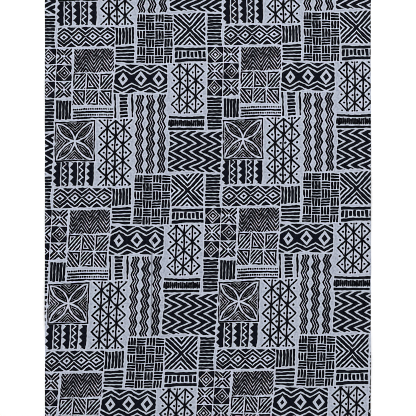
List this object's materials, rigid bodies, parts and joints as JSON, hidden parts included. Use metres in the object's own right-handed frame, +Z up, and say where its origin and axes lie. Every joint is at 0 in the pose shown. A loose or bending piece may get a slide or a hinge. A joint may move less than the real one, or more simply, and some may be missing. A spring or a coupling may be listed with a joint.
{
  "type": "african wax print fabric",
  "caption": "Flat cut length of crisp printed cotton with a patchwork of small dark geometric motifs, lying face up.",
  "frame": {"origin": "on the surface that the cloth lies on, under the middle of the cloth", "axes": "+X across the cloth, +Y along its length towards the top of the print, +Z up out of the printed face"},
  "size_m": [0.644, 0.83, 0.0038],
  "materials": {
    "printed_cotton": "crisp plain-weave cotton, near-black navy print on a pale grey-blue ground, low sheen"
  },
  "bodies": {
    "root": {"cloth": "printed_cotton"}
  },
  "joints": []
}
